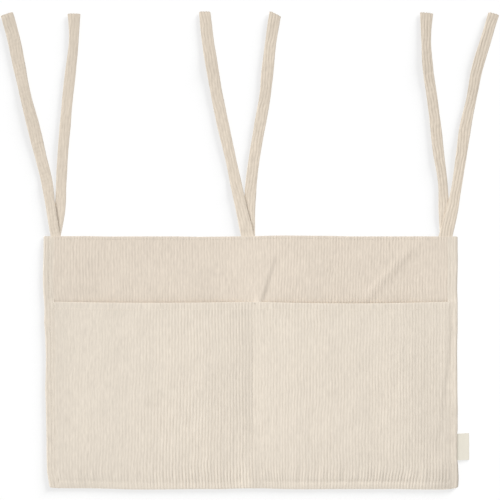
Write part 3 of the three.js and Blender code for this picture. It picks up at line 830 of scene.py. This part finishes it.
def bandRings(side, stations):
    # section: the front leg, then a quarter round down to the table, and back up inside
    y = stations[:, None]
    out = np.concatenate([
        [band["inner"]], np.linspace(band["inner"] + 0.15, band["edge"], 16),  # a crisp inner edge
        band["edge"] + (band["outer"] - band["edge"]) * np.sin(np.linspace(0, np.pi / 2, 13)[1:]),
    ])[None, :]
    peak = bandTop(side * out, y) * (0.88 + 0.12 * smooth(0, 2.2, band["end"] - np.abs(y)))
    way = np.clip((out - band["edge"]) / (band["outer"] - band["edge"]), 0, 1)
    number = out / band["pitch"] + (0.15 if side < 0 else 0.67) + 0.2 * wander(y, 41 + side, 140)
    shown = smooth(band["inner"], band["inner"] + 2, out) * smooth(1, 0.5, way)
    rib = band["ribHeight"] * (ribs(number) - 0.7) * shown
    footZ = band["footZ"]
    topZ = footZ + (peak - footZ + rib) * np.sqrt(1 - way**2)
    inside = [band["outer"] - 1.0, band["outer"] - 1.2, band["edge"], 292, 288.5, band["inner"]]
    insideX = np.array(inside) + 0 * y
    thick = np.array([band["thickness"], 0.7, 0.5, 0.25])  # it thins out to the inner edge
    under = bandTop(side * insideX[:, 2:], y) - thick
    insideZ = np.concatenate([footZ + 0 * y, footZ + 0.35 * under[:, :1], under], axis=1)
    ringX = np.concatenate([out + 0 * y, insideX], axis=1)
    ringZ = np.concatenate([topZ, insideZ], axis=1)
    inset = 0
    for end in (-1, 1):
        r = band["corners"][(side, end)]
        near = np.clip(r - (band["end"] - end * y), 0, r)
        inset = inset + r - np.sqrt(r * r - near * near)
    wavy = 0.15 * wander(y, 51 + side, 90)
    ringX = ringX + (wavy - inset) * smooth(band["inner"], band["outer"], ringX)
    rings = np.stack([side * ringX, y + 0 * ringX, ringZ], axis=-1)
    number = np.concatenate([number, insideX / band["pitch"]], axis=1)
    lower = belowMouth(y)
    corner = smooth(-140, -160, y)
    # the rounded outer rim carries painted shade: on the left where it faces the lamp, and on the right
    # deeper in the lower corner and least beside the label
    if side < 0:
        rim = 0.99 - 0.08 * way**2 - 0.035 * lower * bell(out - 289.3, 2.2)
    else:
        byLabel = smooth(-147, -143, y) * smooth(-99, -103, y)
        rim = 0.985 + 0.015 * lower - 0.05 * corner - 0.055 * smooth(-45, -75, y) + 0.035 * bell(y - 97, 7)
        rim = rim - (0.07 + 0.11 * corner) * (1 - 0.8 * byLabel) * smooth(296.8, 298.6, out)
    napAndShading = np.concatenate([rim + 0 * y, np.full(insideX.shape, 0.9)], axis=1)
    return rings, np.stack([number, y / band["pitch"] + 0 * ringX], axis=-1), napAndShading


stations = clothRows(
    (-band["end"], -176, 14), (-176, 80, 110), (80, 100, 20), (100, 176, 34), (176, band["end"], 14),
)
for name, side in (("left", -1), ("right", 1)):
    rings, coordinates, napAndShading = bandRings(side, stations)
    strip = carried("band_" + name, settle(rings), coordinates, bandCorduroy, 1.0, napAndShading)
    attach(strip, "panel")
    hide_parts(name + "_side_band")
print("side bands folded")

# Label: a loop of plain satin tape, sewn in at the right side
label = {
    "start": 298.9, "reach": 317.1, "low": -142.2, "high": -103.8, "wide": 39, "ply": 0.4, "gap": 0.4,
    "lift": -0.45, "thread": 0.32,
}
bend = label["gap"] / 2 + label["ply"]
turnX = label["reach"] - bend
angles = np.linspace(-np.pi / 2, np.pi / 2, 9)[1:-1]
out = np.linspace(label["start"], turnX, 15)
outlineX, outlineZ = [], []
for radius, sense in ((bend, 1), (label["gap"] / 2, -1)):  # the outside of the loop, then its inside
    level = np.full(len(out), sense * radius)
    outlineX += [out, turnX + radius * np.cos(angles), out[::-1]]
    outlineZ += [-level, sense * radius * np.sin(angles), level]
outlineX, outlineZ = np.concatenate(outlineX), np.concatenate(outlineZ)
y = np.linspace(label["low"], label["high"], 48)[:, None]
share = (outlineX[None, :] - label["start"]) / (label["reach"] - label["start"])
# it comes down from the seam and lies a little arched
arch = 1.6 * (1 - share) ** 2 + 0.8 * share * (1 - share) + 0.12 * share * wander(y, 71, 60)
z = label["lift"] + bend + outlineZ[None, :] * (0.75 + 0.5 * share) + arch
skew = 0.5 * share * (y - label["low"]) / label["wide"] + 0.5 * share
rings = np.stack([outlineX[None, :] + 0.25 * wander(y, 72, 50) * share, y + skew, z], axis=-1)
tape = np.concatenate([[0], np.cumsum(np.hypot(np.diff(outlineX), np.diff(outlineZ)))])
coordinates = np.stack([tape[None, :] + 0 * y, y + 0 * share], axis=-1) / label["thread"]
loop = carried("label_loop", rings, coordinates, labelSatin)
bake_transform(loop)
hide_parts("side_label")
print("label sewn in")


# Stitches: short capsules of thread whose ends dive into the cloth
def stitchMesh(name, starts, ends, ups):
    # each stitch is five hexagons from its start to its end, thinner at the ends,
    # which dip by the fourth power of the way from its middle
    t = np.array([0, 0.16, 0.5, 0.84, 1.0])
    thin = np.array([0.35, 0.85, 1.0, 0.85, 0.35]) * stitch["radius"]
    dip = stitch["sink"] * (2 * t - 1) ** 4
    turns = np.arange(6) * np.pi / 3
    way = ends - starts
    aside = np.cross(way, ups)
    aside = aside / np.linalg.norm(aside, axis=1)[:, None]
    spine = starts[:, None] + way[:, None] * t[None, :, None] - ups[:, None] * dip[None, :, None]
    rim = [v[:, None, None] * f(turns)[None, None, :, None] for v, f in ((aside, np.cos), (ups, np.sin))]
    points = spine[:, :, None] + sum(rim) * thin[None, :, None, None]
    count = len(starts)
    index = np.arange(count * 30).reshape(count, 5, 6)
    beside = np.roll(index, -1, axis=2)
    quads = np.stack([index[:, :-1], index[:, 1:], beside[:, 1:], beside[:, :-1]], axis=-1).reshape(-1, 4)
    caps = [*index[:, 0, :], *index[:, -1, ::-1]]
    along = np.broadcast_to((t * stitch["length"] / stitch["twist"])[None, :, None], (count, 5, 6))
    coordinates = np.stack([along + np.arange(6)[None, None, :] / 3, along * 0.2], axis=-1).reshape(-1, 2)
    plain = np.ones(count * 30)
    return addMesh(name, points.reshape(-1, 3), quads, caps, coordinates, plain, plain, sewingThread)


def laidOn(surface, begin, end, up=1.0):
    places = [np.column_stack([p, surface(p[:, 0], p[:, 1]) + 0 * p[:, 0]]) for p in (begin, end)]
    return places[0], places[1], np.broadcast_to([0.0, 0.0, up], (len(begin), 3))


def rowOf(a, b, surface, up=1.0):
    # stitches along the straight seam from a to b, lying on surface(x, y)
    a, b = np.array(a, float), np.array(b, float)
    count = int(np.linalg.norm(b - a) / stitch["pitch"])
    step = (b - a) / count
    begin = a + step * np.arange(count)[:, None]
    return laidOn(surface, begin, begin + step * stitch["length"] / stitch["pitch"], up)


def tackOf(x, y, wide, high, surface):
    # a bar of close stitches over a small rectangle, each across its long side
    count = int(max(wide, high) / stitch["tack"])
    share = ((np.arange(count) + 0.5) / count - 0.5)[:, None]
    along, over = ((wide, 0), (0, high / 2)) if wide > high else ((0, high), (wide / 2, 0))
    middle = np.array([x, y]) + share * np.array(along)
    return laidOn(surface, middle - np.array(over), middle + np.array(over))


def sewn(name, node, *rows):
    parts = [np.concatenate(group) for group in zip(*rows)]
    piece = stitchMesh(name, settle(parts[0]), settle(parts[1]), parts[2])
    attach(piece, "panel")
    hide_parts(node)


def onOuter(x, y):
    return outerGround(x, y) + outer["ribHeight"]


def onPocket(x, y):
    return pocketGround(x, y) + pocket["ribHeight"]


def onBand(x, y):
    return bandTop(x, y) - 0.05


def onBack(x, y):
    return -0.02 + 0 * x


def hemRow(side):
    row = pocket["mouth"] - pocket["hem"]
    ends = sorted((side * pocket["side"], side * 5.5))
    begin, end, ups = rowOf((ends[0], row), (ends[1], row), onPocket)
    for p in (begin, end):
        p[:, 1] -= mouthSag(p[:, 0]) * smooth(20, pocket["mouth"], p[:, 1])
    return begin, end, ups


def seam(name, node, a, b, surface):
    # a row on the front, and one along the same line on the back
    sewn(name, node, rowOf(a, b, surface), rowOf(a, b, onBack, -1.0))


reach, low, high = stitch["reach"], pocket["stitchRow"], outer["stitchRow"]
seam("stitches_top", "top_edge_stitch", (-reach, high), (reach, high), onOuter)
seam("stitches_bottom", "bottom_stitch", (-reach, low), (reach, low), onPocket)
for name, side in (("left", -1), ("right", 1)):
    row = side * band["stitchRow"]
    seam("stitches_side_" + name, name + "_side_stitch", (row, low), (row, high), onBand)
    sewn("stitches_hem_" + name, "mouth_hem_stitch_" + name, hemRow(side))
    tack = tackOf(side * 286.9, 84, wide=1.8, high=9, surface=onBand)
    sewn("bartack_" + name, "mouth_bartack_" + name, tack)
seam("stitches_divider", "divider_stitch", (0.0, -172.8), (1.2, 85.4), onPocket)
sewn("bartack_divider", "divider_bartack", tackOf(1.2, 86.6, wide=9, high=1.8, surface=onPocket))
print("stitches sewn")
